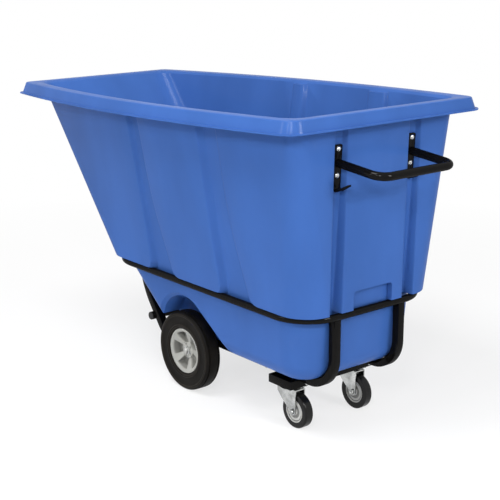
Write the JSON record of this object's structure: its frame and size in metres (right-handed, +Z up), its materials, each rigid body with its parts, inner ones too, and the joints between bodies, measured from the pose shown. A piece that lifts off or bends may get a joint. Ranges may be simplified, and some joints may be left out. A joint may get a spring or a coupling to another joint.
{
  "type": "tilt truck",
  "caption": "Wheeled tilt truck: a moulded open hopper in a bent tube frame, with large main wheels, swivel casters and a push handle.",
  "frame": {"origin": "on the floor, in the middle of the overall length and width", "axes": "+X towards the push handle, +Y to the right of a person pushing, +Z up"},
  "size_m": [1.895, 0.9738, 1.1463],
  "materials": {
    "hopper_plastic": "satin moulded polyethylene, blue",
    "frame_paint": "gloss black powder coat",
    "cap_plastic": "matt black",
    "bright_steel": "turned",
    "zinc_steel": "bright zinc plate",
    "tyre_rubber": "black rubber",
    "hub_plastic": "light grey moulded",
    "bearing_plastic": "natural nylon",
    "caster_rubber": "smooth black",
    "caster_core": "light grey moulded"
  },
  "bodies": {
    "frame": {"axle": "bright_steel", "axle_hanger_left": "frame_paint", "axle_hanger_right": "frame_paint", "axle_split_pins": "bright_steel", "axle_washers": "bright_steel", "caster_cross_member": "frame_paint", "caster_kingpin_left": "zinc_steel", "caster_kingpin_right": "zinc_steel", "caster_mount_bolts": "zinc_steel", "caster_mount_nuts": "zinc_steel", "caster_plate_left": "zinc_steel", "caster_plate_right": "zinc_steel", "frame_loop": "frame_paint", "front_leg_left": "frame_paint", "front_leg_right": "frame_paint", "handle_bolts": "zinc_steel", "handle_nuts": "zinc_steel", "handle_strap_left": "frame_paint", "handle_strap_right": "frame_paint", "handle_washers": "zinc_steel", "hopper": "hopper_plastic", "hopper_bolts": "zinc_steel", "hopper_nuts": "zinc_steel", "hopper_washers": "zinc_steel", "push_handle": "frame_paint", "rail_end_caps": "cap_plastic", "rail_left": "frame_paint", "rail_right": "frame_paint", "tip_bar": "frame_paint", "tip_bar_plugs": "cap_plastic"},
    "wheel_left": {"wheel_hub_left": "hub_plastic", "tyre_left": "tyre_rubber", "wheel_bearings_left": "bearing_plastic"},
    "caster_left": {"caster_fork_left": "zinc_steel", "caster_balls_left": "bright_steel", "caster_axle_bolt_left": "zinc_steel", "caster_axle_nut_left": "zinc_steel", "caster_bush_left": "bright_steel"},
    "caster_wheel_left": {"caster_hub_left": "caster_core", "caster_tread_left": "caster_rubber"},
    "wheel_right": {"wheel_hub_right": "hub_plastic", "tyre_right": "tyre_rubber", "wheel_bearings_right": "bearing_plastic"},
    "caster_right": {"caster_fork_right": "zinc_steel", "caster_balls_right": "bright_steel", "caster_axle_bolt_right": "zinc_steel", "caster_axle_nut_right": "zinc_steel", "caster_bush_right": "bright_steel"},
    "caster_wheel_right": {"caster_hub_right": "caster_core", "caster_tread_right": "caster_rubber"}
  },
  "joints": [
    {"name": "wheel_left_spin", "type": "hinge", "parent": "frame", "child": "wheel_left", "pos_m": [-0.0115, -0.208, 0.1525], "axis": [0, 1, 0], "continuous": true},
    {"name": "caster_left_swivel", "type": "hinge", "parent": "frame", "child": "caster_left", "pos_m": [0.4995, -0.146, 0.145], "axis": [0, 0, 1], "continuous": true},
    {"name": "caster_left_roll", "type": "hinge", "parent": "caster_left", "child": "caster_wheel_left", "pos_m": [0.5345, -0.146, 0.0635], "axis": [0, 1, 0], "continuous": true},
    {"name": "wheel_right_spin", "type": "hinge", "parent": "frame", "child": "wheel_right", "pos_m": [-0.0115, 0.208, 0.1525], "axis": [0, 1, 0], "continuous": true},
    {"name": "caster_right_swivel", "type": "hinge", "parent": "frame", "child": "caster_right", "pos_m": [0.4995, 0.146, 0.145], "axis": [0, 0, 1], "continuous": true},
    {"name": "caster_right_roll", "type": "hinge", "parent": "caster_right", "child": "caster_wheel_right", "pos_m": [0.5345, 0.146, 0.0635], "axis": [0, 1, 0], "continuous": true}
  ]
}
